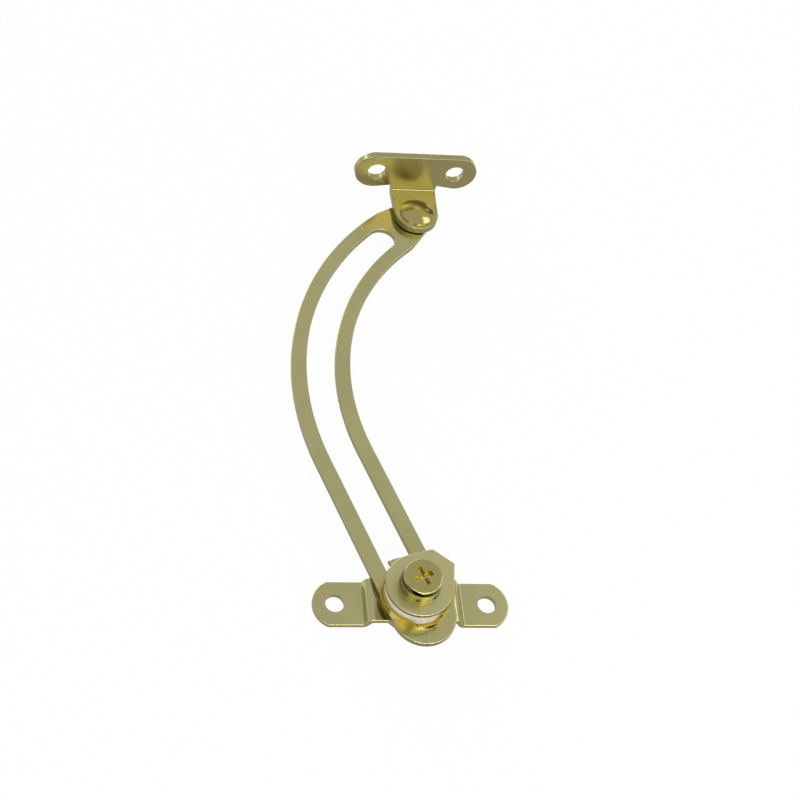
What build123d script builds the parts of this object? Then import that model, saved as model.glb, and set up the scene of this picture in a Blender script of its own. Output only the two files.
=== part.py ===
from build123d import *
from math import acos, atan2, cos, degrees, hypot, inf, radians, sin, tan
import os

# Lid stay for a chest or box lid. A base bracket screws to the side wall, a
# lid bracket screws to the underside of the lid, and a slotted arm joins
# them. The arm slides and turns under an adjustable friction clamp.
#
# Frame, in millimetres: the origin is midway between the two screw holes of
# the base bracket, on its mounting face. X runs through those holes, Y points
# from the base bracket to the lid bracket, and Z points away from the wall.

# Base bracket
base_sheet = 1.25              # sheet thickness
base_hole_spacing = 35.0       # between the two screw holes
base_hole_diameter = 4.3
ear_width = 10.65
ear_end_radius = 5.9           # round end of each ear
ear_end_margin = 5.05          # from a screw hole's centre to the ear's end
platform_height = 3.4          # top face of the raised middle
platform_length = 20.4         # flat length of the raised middle, along X
riser_run = 1.25               # how far each riser leans out, along X
bend_radius = 0.5              # inside radius of every bend in this sheet
platform_overhang = 0.7        # of the round widening, past the arm's straight edges
tongue_radius = 10.9           # reach of the tongue from the screw's axis
tongue_half_angle = 27.0       # degrees to each side of +Y
collar_radius = 3.2            # drawn, tapped collar under the platform
collar_depth = 1.5

# Clamp screw and its washers, from the head down
screw_diameter = 4.0
screw_head_radius = 4.6        # at the foot of the head
screw_head_top_radius = 4.25   # where the side meets the flat top
screw_head_bulge = 0.12        # of the side, halfway up
screw_head_height = 2.35
screw_head_rounding = 0.35
screw_end_chamfer = 0.4
recess_span = 4.5              # tip to tip of the cross recess
recess_slot = 1.15             # width of each arm of the cross
recess_depth = 1.1
recess_taper = 20.0            # degrees, lean of the recess's walls
recess_angle = 22.0            # degrees, turn of the cross about the screw
spring_washer_radius = 4.5
spring_washer_thickness = 0.85
spring_washer_bore = 2.2
spring_washer_split = 0.6
spring_washer_turn = 40.0      # degrees, place of the split about the screw
spring_washer_slant = 25.0     # degrees, lean of the split
plain_washer_radius = 4.75
plain_washer_thickness = 0.65
clamp_plate_thickness = 1.0
clamp_plate_reach = 9.45       # from the screw's axis to the cut end
clamp_plate_left_side = 106.0  # degrees, outward direction of one long side
clamp_plate_right_side = -8.0  # degrees, outward direction of the other
clamp_plate_end = 52.0         # degrees, outward direction of the cut end
clamp_plate_corner = 1.3       # rounding of the left corner of the cut end

# Friction disc with its guide boss, its cup washer, and the thin seat washer
disc_thickness = 3.48
disc_edge_rounding = 0.3
boss_clearance = 0.12          # between the boss and each side of the slot
boss_floor_gap = 0.1           # from the boss's end to the arm's under face
arm_washer_thickness = 0.6
cup_clearance = 0.05           # radial, between the disc and the cup washer's rim
cup_rim_height = 1.5           # above the cup washer's floor
cup_lug_height = 3.2           # taller part of the rim, on the right
cup_lug_middle = -20.0         # degrees, direction of the lug about the screw
cup_lug_half_angle = 34.0      # degrees
cup_notch_middle = -78.0       # degrees, direction of the notch in the rim
cup_notch_top = 7.0            # width of the notch at the rim's top
cup_notch_floor = 4.0          # width of the notch at the cup's floor
seat_washer_thickness = 0.35
running_clearance = 0.05       # radial, at pivots and bores that turn
fixed_clearance = 0.02         # radial, where a shank stands in its own hole
washer_bore_clearance = 0.25   # radial, of loose washers on the screw

# How far the round pieces reach past the arm's straight edges
clamp_plate_overhang = 0.25
arm_washer_overhang = 0.7
seat_washer_inset = 0.8

# Slotted arm: straight, then bent sideways in one arc, in its own plane
arm_sheet = 1.5
arm_angle = 19.96              # degrees that the straight part leans from +Y
arm_width = 14.8
slot_width = 7.17
straight_length = 39.46        # from the screw's axis to the start of the arc
arc_radius = 68.57             # of the slot's centre line
slot_tail = 4.64               # slot behind the screw, to the centre of its round end
slot_head = 76.7               # length of the slot along the arc
rivet_from_slot = 13.2         # from the slot's last centre to the rivet
arm_head_radius = 5.6          # round end around the rivet
arm_head_shift = 1.0           # of the round end's centre, to the left of the rivet
arm_corner_from_slot = 5.8     # where the outer edge turns in to the head
arm_corner_radius = 2.6
arm_neck_from_slot = 4.8       # where the inner edge turns in to the head
arm_neck_radius = 4.0

edge_rounding = 0.2            # along the top and bottom edges of the stamped pieces

# Pivot rivet at the head of the arm
rivet_shank_diameter = 5.0
rivet_head_radius = 4.65
rivet_head_height = 1.5
rivet_head_rim = 0.3           # upright rim below the dome
rivet_tail_radius = 3.7
rivet_tail_height = 1.0
rivet_tail_rounding = 0.4
pivot_washer_radius = 5.0
pivot_washer_thickness = 0.3

# Lid bracket: a tab under the rivet's head and a flange that stands up from it
lid_sheet = 2.0
lid_bend_radius = 0.4
lid_turn = 3.6                 # degrees, turn of the bracket about the rivet
tab_width = 12.7               # at the fold
tab_fold_shift = 0.4           # of the tab's middle at the fold, to the right
tab_end_radius = 6.05
tab_end_offset = 0.15          # from the rivet to the centre of the round end
flange_distance = 8.76         # from the rivet to the flange's front face
flange_length = 34.4
relief_height = 0.8            # rise of the flange's lower edge beside the tab
relief_run = 5.0               # length of that rise
flange_width = 10.95
flange_rise = 8.45             # from the tab's under face to the hole line
lid_hole_spacing = 22.2
lid_hole_diameter = 5.2

# How far each cutting shape reaches past the faces that it cuts
cut_margin = 1.0

# Heights of the stack, each from the one below it
arm_bottom = platform_height + seat_washer_thickness
arm_top = arm_bottom + arm_sheet
disc_bottom = arm_top + arm_washer_thickness
plate_bottom = disc_bottom + disc_thickness
plate_top = plate_bottom + clamp_plate_thickness
spring_bottom = plate_top + plain_washer_thickness
head_bottom = spring_bottom + spring_washer_thickness
head_top = head_bottom + screw_head_height
tab_bottom = arm_top + pivot_washer_thickness
tab_top = tab_bottom + lid_sheet
flange_height = tab_bottom + flange_rise

screw_radius = screw_diameter / 2
loose_bore_radius = screw_radius + washer_bore_clearance
boss_radius = slot_width / 2 - boss_clearance
disc_radius = arm_width / 2
platform_disc_radius = disc_radius + platform_overhang
clamp_plate_radius = disc_radius + clamp_plate_overhang
arm_washer_radius = disc_radius + arm_washer_overhang
seat_washer_radius = disc_radius - seat_washer_inset

# The slot's centre line starts at the screw's axis. Its straight part runs
# along "ahead", and its arc turns to the right, towards "beside".
ahead = Vector(-sin(radians(arm_angle)), cos(radians(arm_angle)))
beside = Vector(cos(radians(arm_angle)), sin(radians(arm_angle)))
arc_centre = ahead * straight_length + beside * arc_radius
slot_end = straight_length + slot_head
rivet_place = slot_end + rivet_from_slot


def polar(radius, angle):
    """Point at a radius and an angle in degrees about the origin."""
    return Vector(radius * cos(radians(angle)), radius * sin(radians(angle)))


def outward(distance):
    """Unit vector from the arc's centre to the centre line at a distance along it."""
    turn = (distance - straight_length) / arc_radius
    return ahead * sin(turn) - beside * cos(turn)


def forward(distance):
    """Unit vector of the arc's direction at a distance along it."""
    turn = (distance - straight_length) / arc_radius
    return ahead * cos(turn) + beside * sin(turn)


def along(distance, side=0.0):
    """Point at a distance along the slot's centre line, moved to its right by side."""
    if distance <= straight_length:
        return ahead * distance + beside * side
    return arc_centre + outward(distance) * (arc_radius - side)


def plate(face, bottom, thickness):
    """Flat plate of the face's outline, with its lower face at the given height."""
    return extrude(Pos(0, 0, bottom) * face, amount=thickness, dir=(0, 0, 1))


def rod(radius, bottom, height, place=(0, 0)):
    """Upright cylinder that starts at the given height."""
    base = Pos(place[0], place[1], bottom)
    return base * Cylinder(radius, height, align=(Align.CENTER, Align.CENTER, Align.MIN))


def bore(radius, bottom, height, place=(0, 0)):
    """Upright cylinder that cuts right through a layer of the given height."""
    return rod(radius, bottom - cut_margin, height + 2 * cut_margin, place)


def soften(body, across, upright=Axis.Z, top=inf):
    """Round the long edges of a sheet, but not its bend lines or the edges through its thickness."""
    skipped = body.edges().filter_by(across) + body.edges().filter_by(upright)
    edges = [e for e in body.edges() if e not in skipped and e.center().Z < top]
    return fillet(edges, edge_rounding)


def washer(outer_radius, bore_radius, bottom, thickness):
    """Flat ring about the screw's axis."""
    return rod(outer_radius, bottom, thickness) - bore(bore_radius, bottom, thickness)


def bent_strip_outline():
    """Cross-section of the base bracket's bent sheet, in the XZ plane."""
    rise = platform_height - base_sheet
    slope = atan2(rise, riser_run)
    shift = base_sheet * tan(slope / 2)
    end = base_hole_spacing / 2 + ear_end_margin
    top_edge = platform_length / 2
    foot = top_edge + riser_run
    underside = platform_height - base_sheet
    upper = [(end, base_sheet), (foot, base_sheet), (top_edge, platform_height)]
    lower = [(top_edge - shift, underside), (foot - shift, 0), (end, 0)]
    inner_corners = [upper[1], lower[0]]
    outer_corners = [upper[2], lower[1]]
    right = upper + [(-x, z) for x, z in reversed(upper)]
    left = [(-x, z) for x, z in reversed(lower)] + lower
    face = make_face(Polyline(*right, *left, close=True))

    def corners(points):
        wanted = [(x * side, z) for x, z in points for side in (1, -1)]
        near = bend_radius / 100
        return [v for v in face.vertices() if any(hypot(v.X - x, v.Y - z) < near for x, z in wanted)]

    face = fillet(corners(inner_corners), bend_radius)
    return fillet(corners(outer_corners), bend_radius + base_sheet)


def base_bracket():
    """Two ears, a raised middle with a round tongue, and a tapped collar below it."""
    depth = 4 * tongue_radius
    strip = extrude(Plane.XZ.offset(-depth / 2) * bent_strip_outline(), amount=depth)
    ear_centre = base_hole_spacing / 2 + ear_end_margin - ear_end_radius
    ears = Rectangle(2 * ear_centre, ear_width)
    for side in (1, -1):
        end = Pos(side * ear_centre, 0) * Circle(ear_end_radius)
        ears += end & Rectangle(8 * ear_centre, ear_width)
    spread = tongue_radius * tan(radians(tongue_half_angle))
    wedge = make_face(Polyline((0, 0), (-spread, tongue_radius), (spread, tongue_radius), close=True))
    tongue = wedge & Circle(tongue_radius)
    plan = ears + Circle(platform_disc_radius) + tongue
    sheet = soften(strip & plate(plan, -cut_margin, platform_height + 2 * cut_margin), Axis.Y)
    collar = rod(collar_radius, platform_height - base_sheet - collar_depth, collar_depth + base_sheet / 2)
    body = sheet + collar - bore(screw_radius + fixed_clearance, 0, platform_height)
    for side in (1, -1):
        body -= bore(base_hole_diameter / 2, 0, base_sheet, (side * base_hole_spacing / 2, 0))
    return body


def clamp_screw():
    """Pan head with a cross recess, on a shank that ends flush with the collar."""
    shank_bottom = platform_height - base_sheet - collar_depth
    foot = (screw_head_radius, head_bottom)
    rim = (screw_head_top_radius, head_top)
    middle_radius = (screw_head_radius + screw_head_top_radius) / 2 + screw_head_bulge
    side = ThreePointArc(foot, (middle_radius, (head_bottom + head_top) / 2), rim)
    profile = make_face(side + Polyline(rim, (0, head_top), (0, head_bottom), foot))
    head = revolve(Plane.XZ * profile, Axis.Z)
    head = fillet(head.edges().filter_by(GeomType.CIRCLE).sort_by(Axis.Z)[-1], screw_head_rounding)
    recess = Rectangle(recess_span, recess_slot) + Rectangle(recess_slot, recess_span)
    recess = Rot(0, 0, recess_angle) * recess
    head -= extrude(Pos(0, 0, head_top) * recess, amount=-recess_depth, taper=recess_taper)
    shank = rod(screw_radius, shank_bottom, head_bottom - shank_bottom)
    shank = chamfer(shank.edges().filter_by(GeomType.CIRCLE).sort_by(Axis.Z)[0], screw_end_chamfer)
    return head + shank


def spring_washer():
    """Split ring, with a slanted cut at the front."""
    ring = washer(spring_washer_radius, spring_washer_bore, spring_bottom, spring_washer_thickness)
    middle = (spring_washer_radius + spring_washer_bore) / 2
    cut = Box(spring_washer_split, spring_washer_radius, 4 * spring_washer_thickness)
    place = Rot(0, 0, spring_washer_turn) * Pos(0, -middle, spring_bottom + spring_washer_thickness / 2)
    return ring - place * Rot(0, spring_washer_slant, 0) * cut


def plain_washer():
    """Flat ring between the clamp plate and the split ring."""
    return washer(plain_washer_radius, loose_bore_radius, plate_top, plain_washer_thickness)


def clamp_plate():
    """Round plate whose two sides run straight to a cut end."""
    end = polar(1, clamp_plate_end)
    corners = []
    touches = []
    for side in (clamp_plate_left_side, clamp_plate_right_side):
        normal = polar(1, side)
        sign = 1 if side < clamp_plate_end else -1
        run = Vector(-normal.Y, normal.X) * sign
        length = (clamp_plate_reach - clamp_plate_radius * normal.dot(end)) / run.dot(end)
        touches.append(normal * clamp_plate_radius)
        corners.append(normal * clamp_plate_radius + run * length)
    nose = make_face(Polyline((0, 0), touches[0], corners[0], corners[1], touches[1], close=True))
    left = nose.vertices().sort_by_distance(corners[0])[0]
    nose = fillet(left, clamp_plate_corner)
    blank = plate(nose + Circle(clamp_plate_radius), plate_bottom, clamp_plate_thickness)
    body = soften(blank, Axis.Z)
    return body - bore(loose_bore_radius, plate_bottom, clamp_plate_thickness)


def friction_disc():
    """Plastic disc with a boss that runs in the arm's slot."""
    disc = rod(disc_radius, disc_bottom, disc_thickness)
    disc = fillet(disc.edges().filter_by(GeomType.CIRCLE), disc_edge_rounding)
    boss_bottom = arm_bottom + boss_floor_gap
    boss = rod(boss_radius, boss_bottom, disc_bottom + disc_thickness / 2 - boss_bottom)
    return disc + boss - bore(screw_radius + running_clearance, boss_bottom, plate_bottom - boss_bottom)


def sector(middle, half_angle, radius, bottom, height):
    """Upright wedge about the screw's axis, to both sides of a direction."""
    corners = [polar(radius, middle + side * half_angle) for side in (1, -1)]
    return plate(make_face(Polyline((0, 0), *corners, close=True)), bottom, height)


def arm_washer():
    """Cup washer on the arm, around the friction disc: a floor, a notched low rim and a lug."""
    floor = washer(arm_washer_radius, boss_radius + fixed_clearance, arm_top, arm_washer_thickness)
    rim_bore = disc_radius + cup_clearance
    rim = washer(arm_washer_radius, rim_bore, disc_bottom, cup_rim_height)
    lug = washer(arm_washer_radius, rim_bore, disc_bottom, cup_lug_height)
    lug &= sector(cup_lug_middle, cup_lug_half_angle, 2 * arm_washer_radius, disc_bottom, cup_lug_height)
    spread = (cup_notch_top - cup_notch_floor) / (2 * cup_rim_height)
    above = disc_bottom + cup_rim_height + cut_margin
    low = cup_notch_floor / 2
    high = cup_notch_top / 2 + spread * cut_margin
    corners = [(-low, disc_bottom), (low, disc_bottom), (high, above), (-high, above)]
    notch = extrude(Plane.XZ * make_face(Polyline(*corners, close=True)), amount=2 * arm_washer_radius)
    rim -= Rot(0, 0, cup_notch_middle + 90) * notch
    return floor + rim + lug


def seat_washer():
    """Thin ring between the base bracket and the arm."""
    return washer(seat_washer_radius, loose_bore_radius, platform_height, seat_washer_thickness)


def slotted_outline():
    """Slot outline: two round ends joined by the straight and curved sides."""
    half = slot_width / 2
    bend = (straight_length + slot_end) / 2
    start = -slot_tail
    left = Line(along(start, -half), along(straight_length, -half))
    left += ThreePointArc(along(straight_length, -half), along(bend, -half), along(slot_end, -half))
    far = ThreePointArc(along(slot_end, -half), along(slot_end + half), along(slot_end, half))
    right = ThreePointArc(along(slot_end, half), along(bend, half), along(straight_length, half))
    right += Line(along(straight_length, half), along(start, half))
    near = ThreePointArc(along(start, half), along(start - half), along(start, -half))
    return make_face([*left.edges(), far, *right.edges(), near])


def arm_outline():
    """Outer outline of the arm, from its round foot to the head about the rivet."""
    half = arm_width / 2
    bend = (straight_length + slot_end) / 2
    start = -slot_tail
    head = along(rivet_place, -arm_head_shift)
    corner_place = slot_end + arm_corner_from_slot
    corner = along(corner_place, -half)
    leave = along(slot_end + arm_neck_from_slot, half)
    touch_angles = []
    for point, side in ((corner, -1), (leave, 1)):
        reach = point - head
        touch_angles.append(degrees(atan2(reach.Y, reach.X) + side * acos(arm_head_radius / reach.length)))
    head_left, head_right = [head + polar(arm_head_radius, angle) for angle in touch_angles]
    tip = head + forward(rivet_place) * arm_head_radius
    edges = [
        Line(along(start, -half), along(straight_length, -half)),
        ThreePointArc(along(straight_length, -half), along(bend, -half), corner),
        Line(corner, head_left),
        ThreePointArc(head_left, tip, head_right),
        Line(head_right, leave),
        ThreePointArc(leave, along(bend, half), along(straight_length, half)),
        Line(along(straight_length, half), along(start, half)),
        ThreePointArc(along(start, half), along(start - half), along(start, -half)),
    ]
    face = make_face(edges)
    face = fillet(face.vertices().sort_by_distance(corner)[0], arm_corner_radius)
    return fillet(face.vertices().sort_by_distance(leave)[0], arm_neck_radius)


def slotted_arm():
    """Flat arm with its long slot and the rivet's hole."""
    rivet = along(rivet_place)
    blank = soften(plate(arm_outline() - slotted_outline(), arm_bottom, arm_sheet), Axis.Z)
    hole_radius = rivet_shank_diameter / 2 + fixed_clearance
    return blank - bore(hole_radius, arm_bottom, arm_sheet, (rivet.X, rivet.Y))


def pivot_rivet():
    """Domed head on the lid bracket's tab, shank, and closed head under the arm."""
    rivet = along(rivet_place)
    place = (rivet.X, rivet.Y)
    dome_height = rivet_head_height - rivet_head_rim
    sphere_radius = (rivet_head_radius**2 + dome_height**2) / (2 * dome_height)
    dome = Pos(rivet.X, rivet.Y, tab_top + rivet_head_height - sphere_radius) * Sphere(sphere_radius)
    dome &= rod(rivet_head_radius, tab_top, rivet_head_height + cut_margin, place)
    tail_bottom = arm_bottom - rivet_tail_height
    shank = rod(rivet_shank_diameter / 2, tail_bottom, tab_top - tail_bottom, place)
    tail = rod(rivet_tail_radius, tail_bottom, rivet_tail_height, place)
    tail = fillet(tail.edges().filter_by(GeomType.CIRCLE).sort_by(Axis.Z)[0], rivet_tail_rounding)
    return dome + shank + tail


def pivot_washer():
    """Thin ring around the rivet, between the arm and the lid bracket."""
    rivet = along(rivet_place)
    place = (rivet.X, rivet.Y)
    ring = rod(pivot_washer_radius, arm_top, pivot_washer_thickness, place)
    return ring - bore(rivet_shank_diameter / 2 + fixed_clearance, arm_top, pivot_washer_thickness, place)


def tab_outline():
    """Tab outline: a round end, and sides that run a little apart to the fold."""
    back = flange_distance + lid_sheet
    start = Vector(0, tab_end_offset)
    touches = []
    folds = []
    for side in (1, -1):
        fold = Vector(tab_fold_shift + side * tab_width / 2, flange_distance)
        reach = fold - start
        angle = atan2(reach.Y, reach.X) - side * acos(tab_end_radius / reach.length)
        touches.append(start + polar(tab_end_radius, degrees(angle)))
        folds.append(fold)
    backs = [Vector(fold.X, back) for fold in folds]
    right_side = [touches[0], folds[0], backs[0]]
    left_side = [backs[1], folds[1], touches[1]]
    sides = make_face(Polyline(*right_side, *left_side, start, close=True))
    return sides + Pos(start.X, start.Y) * Circle(tab_end_radius)


def flange_outline():
    """Flange outline about its hole line: round ends, and relief beside the tab."""
    flange = SlotOverall(flange_length, flange_width)
    low = -flange_width / 2
    for side in (1, -1):
        near = tab_fold_shift + side * tab_width / 2
        far = near + side * relief_run
        below = low - cut_margin
        corners = [(near, below), (near, low + relief_height), (far, low), (far, below)]
        flange -= make_face(Polyline(*corners, close=True))
        flange -= Pos(side * lid_hole_spacing / 2, 0) * Circle(lid_hole_diameter / 2)
    return flange


def lid_bracket():
    """Tab under the rivet's head, bent up into a flange with two screw holes."""
    front = flange_distance
    back = front + lid_sheet
    outer = lid_bend_radius + lid_sheet
    reach = -2 * tab_end_radius
    profile = make_face(Polyline(
        (reach, tab_bottom), (back, tab_bottom), (back, flange_height), (front, flange_height),
        (front, tab_top), (reach, tab_top), close=True))
    profile = fillet(profile.vertices().sort_by_distance((front, tab_top))[0], lid_bend_radius)
    profile = fillet(profile.vertices().sort_by_distance((back, tab_bottom))[0], outer)
    strip = extrude(Plane.YZ.offset(-flange_length / 2) * profile, amount=flange_length)
    strip &= plate(tab_outline(), tab_bottom, flange_height - tab_bottom)
    strip = soften(strip, Axis.X, top=flange_height - lid_sheet)
    upright = Plane(origin=(0, front, flange_height), x_dir=(1, 0, 0), z_dir=(0, -1, 0))
    flange = extrude(upright * flange_outline(), amount=-lid_sheet)
    body = strip + soften(flange, Axis.Y)
    body -= bore(rivet_shank_diameter / 2 + running_clearance, tab_bottom, lid_sheet)
    rivet = along(rivet_place)
    return Pos(rivet.X, rivet.Y) * Rot(0, 0, lid_turn) * body


nodes = {
    "base_bracket": base_bracket,
    "clamp_screw": clamp_screw,
    "spring_washer": spring_washer,
    "plain_washer": plain_washer,
    "clamp_plate": clamp_plate,
    "friction_disc": friction_disc,
    "arm_washer": arm_washer,
    "seat_washer": seat_washer,
    "slotted_arm": slotted_arm,
    "pivot_rivet": pivot_rivet,
    "pivot_washer": pivot_washer,
    "lid_bracket": lid_bracket,
}

os.makedirs("parts", exist_ok=True)
for name, make in nodes.items():
    export_step(make(), "parts/" + name + ".step")
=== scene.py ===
from math import cos, pi, radians, sin

import bmesh
import bpy
from bpy.props import FloatProperty, FloatVectorProperty, PointerProperty
from mathutils import Matrix, Vector


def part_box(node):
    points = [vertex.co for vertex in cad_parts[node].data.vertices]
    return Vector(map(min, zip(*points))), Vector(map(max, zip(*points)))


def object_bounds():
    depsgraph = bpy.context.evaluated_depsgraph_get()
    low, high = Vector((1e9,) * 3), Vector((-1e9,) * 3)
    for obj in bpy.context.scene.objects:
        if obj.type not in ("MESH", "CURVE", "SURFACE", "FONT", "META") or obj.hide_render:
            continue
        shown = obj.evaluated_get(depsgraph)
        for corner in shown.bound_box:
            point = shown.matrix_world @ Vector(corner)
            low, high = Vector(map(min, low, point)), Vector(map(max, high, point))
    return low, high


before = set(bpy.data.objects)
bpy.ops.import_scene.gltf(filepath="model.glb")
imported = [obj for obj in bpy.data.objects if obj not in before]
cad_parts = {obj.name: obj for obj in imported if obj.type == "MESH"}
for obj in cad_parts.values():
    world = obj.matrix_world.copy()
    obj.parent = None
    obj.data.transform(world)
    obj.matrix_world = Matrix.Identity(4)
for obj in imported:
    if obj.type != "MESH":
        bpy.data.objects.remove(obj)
cad_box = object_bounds()

bl_info = {
    "name": "Lid stay",
    "version": (1, 0, 0),
    "blender": (4, 5, 0),
    "location": "3D Viewport > Sidebar > Lid Stay",
    "description": "Dresses a friction lid stay: plated sheet, fasteners, plastic disc and stage",
    "category": "Object",
}

MM = 0.001                              # one millimetre, in metres

# CAD nodes, by their finish
LEVEL_NODES = ("base_bracket", "slotted_arm")
BRUSHED_NODES = ("clamp_plate",)
FLANGED_NODES = ("lid_bracket",)
TURNED_NODES = ("clamp_screw", "spring_washer", "plain_washer", "pivot_rivet", "pivot_washer")
THIN_NODES = ("arm_washer", "seat_washer")
PLASTIC_NODES = ("friction_disc",)

# Directions
UP = (0.0, 0.0, 1.0)
LID_TURN = radians(3.6)                 # of the lid bracket about the rivet
FLANGE_FRONT = (-sin(LID_TURN), cos(LID_TURN), 0.0)
ROLLING_TURN = radians(-15)             # of the sheet's rolling marks about Z
SCUFF_TURN = radians(35)                # of the fasteners' scuffs about Z

# Shapes that the masks follow, in millimetres
LID_SHEET = 2.0                         # thickness of the lid bracket
MASK_SOFTNESS = 0.2                     # height over which a mask fades in
SEAM_SOFTNESS = 0.05                    # the same, at the painted shade in the seams between the washers
SEAM_HALF_HEIGHT = 0.09
HEAD_FOOT = 0.8                         # foot of the screw's head, which keeps its bright colour below the painted shade on its side
RECESS_REACH = 2.6                      # from the screw's axis past the tips of the cross recess
RECESS_DEPTH = 2.0                      # past the floor of the cross recess
RECESS_MARGIN = 0.03                    # the recess's mask starts this far below the head's top

# Ramp stops, each with a position and a shade
CUT_WALL_STOPS = ((0.15, 1.0), (0.45, 0.0))
CLOUD_STOPS = ((0.35, 0.0), (0.65, 1.0))
PATCH_STOPS = ((0.52, 0.0), (0.62, 1.0))
PIT_STOPS = ((0.18, 1.0), (0.32, 0.0))
HEAD_SIDE_STOPS = ((0.25, 1.0), (0.55, 0.0))
SCUFF_STOPS = ((0.60, 0.0), (0.68, 1.0))

# Brightness left in the cloudiest places
SHEET_CLOUD_SHADE = 0.93
FASTENER_CLOUD_SHADE = 0.9
PLASTIC_CLOUD_SHADE = 0.93

# Scattering of light in the plastic
PLASTIC_SCATTER = 0.25
PLASTIC_SCATTER_COLOR = (1.0, 0.9, 0.8)
PLASTIC_SCATTER_REACH = 0.6             # millimetres

# Added to the roughness, and each spread is between the least and the most
FLANGE_DULLNESS = 0.08
PLATE_DULLNESS = 0.12
CUT_WALL_DULLNESS = 0.12
SHEAR_DULLNESS = 0.20
PIT_DULLNESS = 0.08
SCUFF_DULLNESS = 0.08
CLOUD_SPREAD = 0.05
ROLLING_SPREAD = 0.05
GRAIN_SPREAD = 0.04
RING_SPREAD = 0.05
PLASTIC_FLOW_SPREAD = 0.1
PLASTIC_TEXTURE_SPREAD = 0.08

# Bumps: one height for all, in millimetres, and a strength for each finish
BUMP_DISTANCE = 0.02
SHEET_BUMPS = 0.07
FASTENER_BUMPS = 0.06
PLASTIC_BUMPS = 0.12

# Stage, in metres and degrees; a lamp of brightness 1 shows as white in a mirror
FLOOR_GLOW = 0.95                       # share of white that the camera and mirrors see in the floor
LAMPS = (
    # name, azimuth, elevation, distance, (width, height), brightness, seen by mirrors only
    ("right_lamp", 72.0, 49.0, 0.6, (0.24, 0.22), 1.7, False),
    ("front_lamp", 186.0, 28.0, 0.7, (0.30, 0.18), 9.0, True),
    ("middle_lamp", 156.0, 43.0, 0.8, (0.22, 0.36), 4.1, False),
    ("side_lamp", 128.0, 48.0, 0.8, (0.50, 0.40), 2.0, True),
    ("broad_lamp", 216.0, 46.0, 0.9, (0.40, 0.46), 1.6, False),
    ("low_back_lamp", 345.0, 16.0, 0.8, (0.75, 0.42), 1.7, False),
)
CARD_WIDTH = 0.20
CARD_DEPTH = 0.12
CARD_GAP = 0.008                        # from the base bracket to the card
CARD_MIDDLE = -0.02                     # of the card, along X
CARD_LIFT = 0.0003                      # above the floor
CARD_COLOR = (0.03, 0.03, 0.03, 1.0)
WHITE = (1.0, 1.0, 1.0, 1.0)
SENSOR_WIDTH = 36.0                     # millimetres
NEAREST_SEEN = 0.01
FARTHEST_SEEN = 50.0

# Places of the sockets that are used by number
NORMAL_OUTPUT = 1
OBJECT_OUTPUT = 3
DOT_OUTPUT = 1
FIRST_COLOR = 6
SECOND_COLOR = 7
MIXED_COLOR = 2
CAMERA_RAY = 0
GLOSSY_RAY = 3
TRANSMISSION_RAY = 6


class Value:
    """One output of a shader node; arithmetic on it adds Math nodes."""

    def __init__(self, finish, socket):
        self.finish = finish
        self.socket = socket

    def _math(self, operation, first, second=None):
        sockets = {0: first}
        if second is not None:
            sockets[1] = second
        return self.finish.node("ShaderNodeMath", {"operation": operation}, sockets)[0]

    def __add__(self, other):
        return self._math("ADD", self, other)

    __radd__ = __add__

    def __sub__(self, other):
        return self._math("SUBTRACT", self, other)

    def __rsub__(self, other):
        return self._math("SUBTRACT", other, self)

    def __mul__(self, other):
        return self._math("MULTIPLY", self, other)

    __rmul__ = __mul__

    def larger(self, other):
        """The larger of two values."""
        return self._math("MAXIMUM", self, other)

    def size(self):
        """The value without its sign."""
        return self._math("ABSOLUTE", self)

    def clamped(self):
        """The value, kept between 0 and 1."""
        return self._math("MINIMUM", self._math("MAXIMUM", self, 0.0), 1.0)


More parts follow.
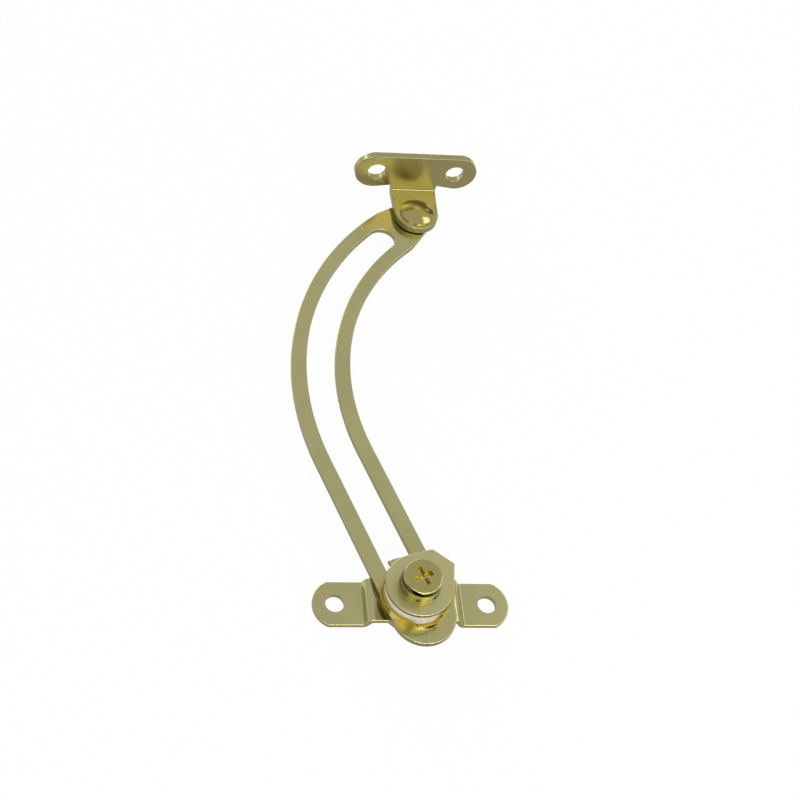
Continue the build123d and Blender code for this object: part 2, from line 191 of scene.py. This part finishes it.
class Finish:
    """A material or a surround under construction, with one method that adds any node."""

    def __init__(self, name, tree_owner=None):
        if tree_owner is None:
            self.material = bpy.data.materials.new(name)
            self.material.use_nodes = True
            tree_owner = self.material
        self.tree = tree_owner.node_tree
        self.tree.nodes.clear()

    def node(self, kind, settings=None, sockets=None):
        """Add a node, apply its settings, fill its sockets, and return its outputs."""
        made = self.tree.nodes.new(kind)
        for key, value in (settings or {}).items():
            if key == "stops":
                self._set_stops(made.color_ramp, value)
            else:
                setattr(made, key, value)
        for key, value in (sockets or {}).items():
            if isinstance(value, Value):
                self.tree.links.new(value.socket, made.inputs[key])
            else:
                made.inputs[key].default_value = value
        return [Value(self, output) for output in made.outputs]

    @staticmethod
    def _set_stops(ramp, stops):
        while len(ramp.elements) < len(stops):
            ramp.elements.new(0.5)
        for element, (position, shade) in zip(ramp.elements, stops):
            element.position = position
            element.color = (shade, shade, shade, 1.0)

    def place(self, size_mm, stretch=(1.0, 1.0, 1.0), turn=0.0):
        """Object coordinates in which one unit is size_mm, stretched along the axes and turned about Z."""
        coordinates = self.node("ShaderNodeTexCoord")[OBJECT_OUTPUT]
        scale = [1.0 / (size_mm * MM * factor) for factor in stretch]
        sockets = {"Vector": coordinates, "Rotation": (0.0, 0.0, turn), "Scale": scale}
        return self.node("ShaderNodeMapping", {}, sockets)[0]

    def coordinates(self):
        """Object coordinates along X, Y and Z, in metres."""
        place = self.node("ShaderNodeTexCoord")[OBJECT_OUTPUT]
        return self.node("ShaderNodeSeparateXYZ", {}, {0: place})

    def noise(self, size_mm, detail=2.0, stretch=(1.0, 1.0, 1.0), turn=0.0):
        """Noise whose features are about size_mm across."""
        sockets = {"Vector": self.place(size_mm, stretch, turn), "Scale": 1.0, "Detail": detail}
        return self.node("ShaderNodeTexNoise", {}, sockets)[0]

    def ramp(self, value, stops):
        """Grey ramp of a value, as a value again."""
        return self.node("ShaderNodeValToRGB", {"stops": stops}, {0: value})[0]

    def mix_color(self, factor, first, second):
        """Blend of two colours."""
        sockets = {"Factor": factor, FIRST_COLOR: opaque(first), SECOND_COLOR: opaque(second)}
        return self.node("ShaderNodeMix", {"data_type": "RGBA"}, sockets)[MIXED_COLOR]

    def mix_shader(self, factor, first, second):
        """Blend of two shaders."""
        return self.node("ShaderNodeMixShader", {}, {0: factor, 1: first, 2: second})[0]

    def faces(self, axis):
        """How squarely the surface looks along an axis, either way: 1 is square on, 0 is edge on."""
        normal = self.node("ShaderNodeTexCoord")[NORMAL_OUTPUT]
        product = self.node("ShaderNodeVectorMath", {"operation": "DOT_PRODUCT"}, {0: normal, 1: axis})
        return product[DOT_OUTPUT].size()

    def above(self, height, softness_mm=MASK_SOFTNESS):
        """Mask that is 1 above a height, in metres."""
        z = self.coordinates()[2]
        return ((z - height) * (1.0 / (softness_mm * MM))).clamped()

    def seam(self, height):
        """Mask that is 1 close to a height, in metres."""
        half = SEAM_HALF_HEIGHT * MM
        return self.above(height - half, SEAM_SOFTNESS) - self.above(height + half, SEAM_SOFTNESS)

    def inside_recess(self):
        """Mask that is 1 inside the clamp screw's cross recess."""
        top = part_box("clamp_screw")[1].z
        x, y, z = self.coordinates()
        near = ((RECESS_REACH * MM) ** 2 - (x * x + y * y)) * (1.0 / MM ** 2)
        low = (top - RECESS_MARGIN * MM - z) * (1.0 / (RECESS_MARGIN * MM))
        deep = (z - (top - RECESS_DEPTH * MM)) * (1.0 / (RECESS_MARGIN * MM))
        return near.clamped() * low.clamped() * deep.clamped()

    def bumps(self, height, strength):
        """Bump normal of a height."""
        sockets = {"Height": height, "Distance": BUMP_DISTANCE * MM, "Strength": strength}
        return self.node("ShaderNodeBump", {}, sockets)[0]

    def surface(self, **sockets):
        """Principled surface on the material's output."""
        named = {key.replace("_", " ").title(): value for key, value in sockets.items()}
        shader = self.node("ShaderNodeBsdfPrincipled", {}, named)[0]
        self.node("ShaderNodeOutputMaterial", {}, {0: shader})
        return self.material


def opaque(color):
    """Colour with full alpha, or a link as it is."""
    return color if isinstance(color, Value) else (*color, 1.0)


def dimmed(color, share):
    """Colour at a share of its brightness."""
    return [channel * share for channel in color]


def assign(names, material):
    """Give the material to every slot of the named CAD nodes."""
    for name in names:
        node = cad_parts[name]
        if not node.material_slots:
            raise RuntimeError("no material slot on " + name)
        for slot in node.material_slots:
            slot.material = material


def plated_sheet(name, color, wall_shade_color, roughness, flange_from=None, flange_shade_color=None):
    """Bright plating on stamped sheet: cloudy flats, peel, pits, and darker, rougher cut walls, whose
    darker colour is partly their sheared finish and partly painted shade.

    A flange, where there is one, starts at a height, and its two faces count as flats above it; they get a
    darker, browner colour that is painted shade.
    """
    finish = Finish(name)
    flat = finish.faces(UP)
    if flange_from is not None:
        upright = finish.above(flange_from) * finish.faces(FLANGE_FRONT)
        flat = flat.larger(upright)
    wall = finish.ramp(flat, CUT_WALL_STOPS)
    cloud = finish.noise(size_mm=9.0, detail=3.0)
    rolling = finish.noise(size_mm=0.5, detail=3.0, stretch=(1.0, 14.0, 1.0), turn=ROLLING_TURN)
    peel = finish.noise(size_mm=0.8)
    grain = finish.noise(size_mm=0.12, detail=1.0)
    shear = finish.noise(size_mm=0.25, stretch=(1.0, 1.0, 8.0))
    spots = finish.node("ShaderNodeTexVoronoi", {}, {"Vector": finish.place(size_mm=0.55), "Scale": 1.0})[0]
    patch = finish.ramp(finish.noise(size_mm=5.0), PATCH_STOPS)
    pit = finish.ramp(spots, PIT_STOPS) * patch
    tint = finish.mix_color(finish.ramp(cloud, CLOUD_STOPS), color, dimmed(color, SHEET_CLOUD_SHADE))
    if flange_from is not None:
        # Painted shade: the flange's upright faces get a darker, browner colour than the tab of the same
        # sheet.
        tint = finish.mix_color(upright, tint, flange_shade_color)
    # Painted shade, in part: the cut walls get a darker colour that stands in for the dark reflection they
    # show, besides their duller sheared finish.
    tint = finish.mix_color(wall, tint, wall_shade_color)
    rough = roughness + CLOUD_SPREAD * (cloud - 0.5) + ROLLING_SPREAD * (rolling - 0.5)
    rough = rough + GRAIN_SPREAD * (grain - 0.5) + PIT_DULLNESS * pit
    rough = rough + wall * (CUT_WALL_DULLNESS + SHEAR_DULLNESS * shear)
    if flange_from is not None:
        rough = rough + FLANGE_DULLNESS * upright
    height = 0.5 * peel + 0.25 * rolling + 0.10 * grain - 0.5 * pit
    normal = finish.bumps(height, SHEET_BUMPS)
    return finish.surface(base_color=tint, metallic=1.0, roughness=rough.clamped(), normal=normal)


def bright_fastener(name, color, recess_reflection_color, side_shade_color, roughness):
    """Bright plating on turned and headed parts: fine lathe rings and small scuffs, with a painted
    reflection in the cross recess.

    The side of the screw's head is dark above its foot, and so are the seams under it: both are painted
    shade.
    """
    finish = Finish(name)
    cloud = finish.noise(size_mm=3.0, detail=3.0)
    rings = finish.noise(size_mm=0.12, detail=1.0, stretch=(12.0, 12.0, 1.0))
    scuff = finish.noise(size_mm=0.35, detail=3.0, stretch=(1.0, 6.0, 1.0), turn=SCUFF_TURN)
    scuffs = finish.ramp(scuff, SCUFF_STOPS)
    tint = finish.mix_color(cloud, color, dimmed(color, FASTENER_CLOUD_SHADE))
    # Painted shade: the side of the screw's head above its foot, and thin bands at the seams between the
    # washers, get a near-black colour for the shade and dark reflections there.
    side = finish.ramp(finish.faces(UP), HEAD_SIDE_STOPS)
    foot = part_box("spring_washer")[1].z
    tint = finish.mix_color(side * finish.above(foot + HEAD_FOOT * MM), tint, side_shade_color)
    for height in (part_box("plain_washer")[0].z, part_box("spring_washer")[0].z, foot):
        tint = finish.mix_color(side * finish.seam(height), tint, side_shade_color)
    # Painted reflection: the inside of the cross recess gets a brighter, more golden colour that stands in
    # for the light its walls throw at each other.
    tint = finish.mix_color(finish.inside_recess(), tint, recess_reflection_color)
    rough = roughness + CLOUD_SPREAD * (cloud - 0.5) + SCUFF_DULLNESS * scuffs + RING_SPREAD * (rings - 0.5)
    normal = finish.bumps(rings * 0.4 + cloud * 0.6 - scuffs * 0.4, FASTENER_BUMPS)
    return finish.surface(base_color=tint, metallic=1.0, roughness=rough.clamped(), normal=normal)


def white_plastic(color, roughness):
    """Moulded white plastic: faint flow marks and a soft fine texture."""
    finish = Finish("white_plastic")
    cloud = finish.noise(size_mm=4.0, detail=3.0)
    flow = finish.noise(size_mm=0.6, stretch=(3.0, 3.0, 1.0))
    texture = finish.noise(size_mm=0.12, detail=1.0)
    tint = finish.mix_color(cloud, color, dimmed(color, PLASTIC_CLOUD_SHADE))
    rough = roughness + PLASTIC_FLOW_SPREAD * (flow - 0.5) + PLASTIC_TEXTURE_SPREAD * (texture - 0.5)
    normal = finish.bumps(0.5 * flow + 0.5 * texture, PLASTIC_BUMPS)
    return finish.surface(
        base_color=tint, roughness=rough.clamped(), normal=normal, subsurface_weight=PLASTIC_SCATTER,
        subsurface_radius=PLASTIC_SCATTER_COLOR, subsurface_scale=PLASTIC_SCATTER_REACH * MM)


def direction(azimuth, elevation):
    """Unit vector at an azimuth, from +Y towards +X, and an elevation, both in degrees."""
    flat = cos(radians(elevation))
    return Vector((sin(radians(azimuth)) * flat, cos(radians(azimuth)) * flat, sin(radians(elevation))))


def area_lamp(name, aim, azimuth, elevation, distance, size, brightness, mirrors_only):
    """Lamp that faces the aim; brightness 1 shows as white in a mirror."""
    wide, high = size
    data = bpy.data.lights.new(name, "AREA")
    data.shape = "RECTANGLE"
    data.size = wide
    data.size_y = high
    data.energy = brightness * pi * wide * high
    lamp = bpy.data.objects.new(name, data)
    lamp.visible_diffuse = not mirrors_only
    bpy.context.collection.objects.link(lamp)
    towards = direction(azimuth, elevation)
    lamp.location = aim + towards * distance
    lamp.rotation_mode = "QUATERNION"
    lamp.rotation_quaternion = towards.to_track_quat("Z", "Y")


def flat_sheet(name, wide, deep, middle, finish):
    """Level rectangle of the stage, in its own finish."""
    shape = bmesh.new()
    bmesh.ops.create_grid(shape, x_segments=1, y_segments=1, size=0.5)
    bmesh.ops.scale(shape, verts=shape.verts, vec=(wide, deep, 1.0))
    bmesh.ops.translate(shape, verts=shape.verts, vec=middle)
    mesh = bpy.data.meshes.new(name)
    shape.to_mesh(mesh)
    shape.free()
    mesh.materials.append(finish.material)
    sheet = bpy.data.objects.new(name, mesh)
    bpy.context.collection.objects.link(sheet)
    return sheet


class LidStayFinishes(bpy.types.PropertyGroup):
    """Colours and gloss of the lid stay."""

    sheet_color: FloatVectorProperty(
        name="Sheet colour", description="Plating on the arm, the base bracket and the clamp plate",
        subtype="COLOR", min=0.0, max=1.0, default=(0.52, 0.49, 0.24))
    tab_color: FloatVectorProperty(
        name="Tab colour", description="Yellower plating on the lid bracket's tab",
        subtype="COLOR", min=0.0, max=1.0, default=(0.43, 0.40, 0.18))
    # Painted shade: the flange is the same plated sheet as the tab; its darker, browner colour stands in
    # for the dark reflection it shows.
    flange_shade_color: FloatVectorProperty(
        name="Flange colour", description="Browner plating on the lid bracket's flange",
        subtype="COLOR", min=0.0, max=1.0, default=(0.25, 0.215, 0.095))
    # Painted shade, in part: darker colour for the cut walls, standing in for the dark reflection they show
    # as well as their sheared finish.
    wall_shade_color: FloatVectorProperty(
        name="Cut wall colour", description="Darker plating on the cut walls of the sheet",
        subtype="COLOR", min=0.0, max=1.0, default=(0.27, 0.23, 0.10))
    sheet_roughness: FloatProperty(
        name="Sheet roughness", description="Blur of reflections in the stamped pieces",
        subtype="FACTOR", min=0.0, max=1.0, default=0.21)
    bright_color: FloatVectorProperty(
        name="Fastener colour", description="Plating on the screw, washers and rivet",
        subtype="COLOR", min=0.0, max=1.0, default=(0.46, 0.41, 0.16))
    washer_color: FloatVectorProperty(
        name="Thin washer colour", description="Richer plating on the cup washer and the seat washer",
        subtype="COLOR", min=0.0, max=1.0, default=(0.58, 0.45, 0.09))
    # Painted reflection: a brighter, more golden colour inside the cross recess, standing in for the light
    # its walls throw at each other.
    recess_reflection_color: FloatVectorProperty(
        name="Recess colour", description="Richer plating inside the screw's cross recess",
        subtype="COLOR", min=0.0, max=1.0, default=(0.60, 0.52, 0.20))
    # Painted shade: near-black colour on the side of the screw's head and in the seams between the washers.
    side_shade_color: FloatVectorProperty(
        name="Head side colour",
        description="Darker plating on the side of the screw's head and in the seams",
        subtype="COLOR", min=0.0, max=1.0, default=(0.09, 0.08, 0.035))
    bright_roughness: FloatProperty(
        name="Fastener roughness", description="Blur of reflections in the screw, washers and rivet",
        subtype="FACTOR", min=0.0, max=1.0, default=0.12)
    plastic_color: FloatVectorProperty(
        name="Plastic colour", description="Plastic of the friction disc",
        subtype="COLOR", min=0.0, max=1.0, default=(0.74, 0.70, 0.64))
    plastic_roughness: FloatProperty(
        name="Plastic roughness", description="Dullness of the friction disc",
        subtype="FACTOR", min=0.0, max=1.0, default=0.35)


class LidStayStage(bpy.types.PropertyGroup):
    """Floor, light and camera."""

    floor_color: FloatVectorProperty(
        name="Floor colour", description="Colour of the plain floor",
        subtype="COLOR", min=0.0, max=1.0, default=(0.92, 0.92, 0.92))
    floor_size: FloatProperty(
        name="Floor size", description="Length of each side of the floor", unit="LENGTH", default=12.0)
    sky_color: FloatVectorProperty(
        name="Surround colour", description="Soft light from all round",
        subtype="COLOR", min=0.0, max=1.0, default=(0.68, 0.68, 0.67))
    camera_azimuth: FloatProperty(
        name="Camera azimuth", description="Turn of the camera about the lid stay", unit="ROTATION",
        default=radians(-19.978))
    camera_elevation: FloatProperty(
        name="Camera elevation", description="Height angle of the camera", unit="ROTATION",
        default=radians(51.475))
    camera_roll: FloatProperty(
        name="Camera roll", description="Turn of the camera about its own line of sight", unit="ROTATION",
        default=radians(18.356))
    camera_distance: FloatProperty(
        name="Camera distance", description="From the base bracket to the camera", unit="LENGTH",
        default=0.290676)
    camera_right: FloatProperty(
        name="Camera right", description="Sideways place of the camera", unit="LENGTH", default=-0.002407)
    camera_up: FloatProperty(
        name="Camera up", description="Upward place of the camera", unit="LENGTH", default=0.046467)
    camera_lens: FloatProperty(
        name="Camera lens", description="Focal length for a 36 mm sensor", unit="CAMERA", default=58.113)


class LIDSTAY_OT_stamped_pieces(bpy.types.Operator):
    """Plate the base bracket, clamp plate, slotted arm and lid bracket"""

    bl_idname = "lidstay.stamped_pieces"
    bl_label = "Stamped pieces"

    def execute(self, context):
        look = context.scene.lid_stay_finishes
        level = plated_sheet("plated_sheet", look.sheet_color, look.wall_shade_color, look.sheet_roughness)
        assign(LEVEL_NODES, level)
        brushed = plated_sheet(
            "brushed_sheet", look.sheet_color, look.wall_shade_color, look.sheet_roughness + PLATE_DULLNESS)
        assign(BRUSHED_NODES, brushed)
        flange_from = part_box("lid_bracket")[0].z + LID_SHEET * MM
        flanged = plated_sheet(
            "flanged_sheet", look.tab_color, look.wall_shade_color, look.sheet_roughness,
            flange_from, look.flange_shade_color)
        assign(FLANGED_NODES, flanged)
        return {"FINISHED"}


class LIDSTAY_OT_fasteners(bpy.types.Operator):
    """Plate the clamp screw, the washers and the pivot rivet"""

    bl_idname = "lidstay.fasteners"
    bl_label = "Screw, washers and rivet"

    def execute(self, context):
        look = context.scene.lid_stay_finishes
        for names, name, color in (
                (TURNED_NODES, "bright_fastener", look.bright_color),
                (THIN_NODES, "golden_washer", look.washer_color)):
            bright = bright_fastener(name, color, look.recess_reflection_color, look.side_shade_color, look.bright_roughness)
            assign(names, bright)
        return {"FINISHED"}


class LIDSTAY_OT_friction_disc(bpy.types.Operator):
    """Give the friction disc its white plastic"""

    bl_idname = "lidstay.friction_disc"
    bl_label = "Friction disc"

    def execute(self, context):
        look = context.scene.lid_stay_finishes
        assign(PLASTIC_NODES, white_plastic(look.plastic_color, look.plastic_roughness))
        return {"FINISHED"}


class LIDSTAY_OT_stage(bpy.types.Operator):
    """Make the floor, the surround, the lamps, the dark card and the camera"""

    bl_idname = "lidstay.stage"
    bl_label = "Stage"

    def execute(self, context):
        look = context.scene.lid_stay_stage
        make_floor(look)
        make_surround(look)
        make_lamps()
        make_dark_card()
        make_camera(look)
        context.scene.view_settings.view_transform = "Standard"
        return {"FINISHED"}


def make_floor(look):
    """Plain pale floor under the lowest point; the camera and mirrors see it lifted towards white."""
    finish = Finish("pale_floor")
    paint = finish.node("ShaderNodeBsdfDiffuse", {}, {0: opaque(look.floor_color)})[0]
    glow = finish.node("ShaderNodeEmission", {}, {0: WHITE, 1: 1.0})[0]
    path = finish.node("ShaderNodeLightPath")
    seen = (path[CAMERA_RAY] + path[GLOSSY_RAY] + path[TRANSMISSION_RAY]).clamped()
    finish.node("ShaderNodeOutputMaterial", {}, {0: finish.mix_shader(seen * FLOOR_GLOW, paint, glow)})
    floor = flat_sheet("floor", look.floor_size, look.floor_size, (0.0, 0.0, cad_box[0].z), finish)


def make_surround(look):
    """Plain soft surround, which the camera sees as white."""
    world = bpy.data.worlds.new("surround")
    world.use_nodes = True
    bpy.context.scene.world = world
    finish = Finish("surround", world)
    light = finish.node("ShaderNodeBackground", {}, {0: opaque(look.sky_color), 1: 1.0})[0]
    white = finish.node("ShaderNodeBackground", {}, {0: WHITE, 1: 1.0})[0]
    seen = finish.node("ShaderNodeLightPath")[CAMERA_RAY]
    finish.node("ShaderNodeOutputWorld", {}, {0: finish.mix_shader(seen, light, white)})


def make_lamps():
    """Lamps that all face the middle of the lid stay."""
    aim = (cad_box[0] + cad_box[1]) / 2
    for name, *rest in LAMPS:
        area_lamp(name, aim, *rest)


def make_dark_card():
    """Dark card on the floor in front of the base bracket that only mirrors show."""
    finish = Finish("dark_card")
    paint = finish.node("ShaderNodeBsdfDiffuse", {}, {0: CARD_COLOR})[0]
    finish.node("ShaderNodeOutputMaterial", {}, {0: paint})
    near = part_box("base_bracket")[0].y - CARD_GAP
    middle = (CARD_MIDDLE, near - CARD_DEPTH / 2, cad_box[0].z + CARD_LIFT)
    card = flat_sheet("dark_card", CARD_WIDTH, CARD_DEPTH, middle, finish)
    card.visible_camera = False
    card.visible_diffuse = False
    card.visible_shadow = False


def make_camera(look):
    """Camera whose place is given in its own right, up and back directions."""
    turn = Matrix.Rotation(look.camera_azimuth, 3, "Z")
    right = turn @ Vector((1.0, 0.0, 0.0))
    back = turn @ Vector((0.0, -cos(look.camera_elevation), sin(look.camera_elevation)))
    axes = Matrix((right, back.cross(right), back)).transposed()
    axes = axes @ Matrix.Rotation(look.camera_roll, 3, "Z")
    data = bpy.data.cameras.new("camera")
    data.sensor_width = SENSOR_WIDTH
    data.lens = look.camera_lens
    data.clip_start = NEAREST_SEEN
    data.clip_end = FARTHEST_SEEN
    camera = bpy.data.objects.new("camera", data)
    bpy.context.collection.objects.link(camera)
    place = Vector((look.camera_right, look.camera_up, look.camera_distance))
    camera.matrix_world = Matrix.Translation(axes @ place) @ axes.to_4x4()
    bpy.context.scene.camera = camera


class LIDSTAY_PT_panel(bpy.types.Panel):
    """Lid stay tools"""

    bl_idname = "LIDSTAY_PT_panel"
    bl_label = "Lid stay"
    bl_space_type = "VIEW_3D"
    bl_region_type = "UI"
    bl_category = "Lid Stay"

    def draw(self, context):
        layout = self.layout
        for group in (context.scene.lid_stay_finishes, context.scene.lid_stay_stage):
            box = layout.box()
            for name in group.bl_rna.properties.keys():
                if name not in ("rna_type", "name"):
                    box.prop(group, name)
        for operator in OPERATORS:
            layout.operator(operator.bl_idname)


OPERATORS = (
    LIDSTAY_OT_stamped_pieces,
    LIDSTAY_OT_fasteners,
    LIDSTAY_OT_friction_disc,
    LIDSTAY_OT_stage,
)
CLASSES = (LidStayFinishes, LidStayStage, *OPERATORS, LIDSTAY_PT_panel)


def register():
    """Add the tools, their settings and their panel."""
    for made in CLASSES:
        bpy.utils.register_class(made)
    bpy.types.Scene.lid_stay_finishes = PointerProperty(type=LidStayFinishes)
    bpy.types.Scene.lid_stay_stage = PointerProperty(type=LidStayStage)


def unregister():
    """Take away all that register adds."""
    del bpy.types.Scene.lid_stay_stage
    del bpy.types.Scene.lid_stay_finishes
    for made in reversed(CLASSES):
        bpy.utils.unregister_class(made)


def main():
    """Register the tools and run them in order."""
    register()
    bpy.ops.lidstay.stamped_pieces()
    bpy.ops.lidstay.fasteners()
    bpy.ops.lidstay.friction_disc()
    bpy.ops.lidstay.stage()


if __name__ == "__main__":
    main()
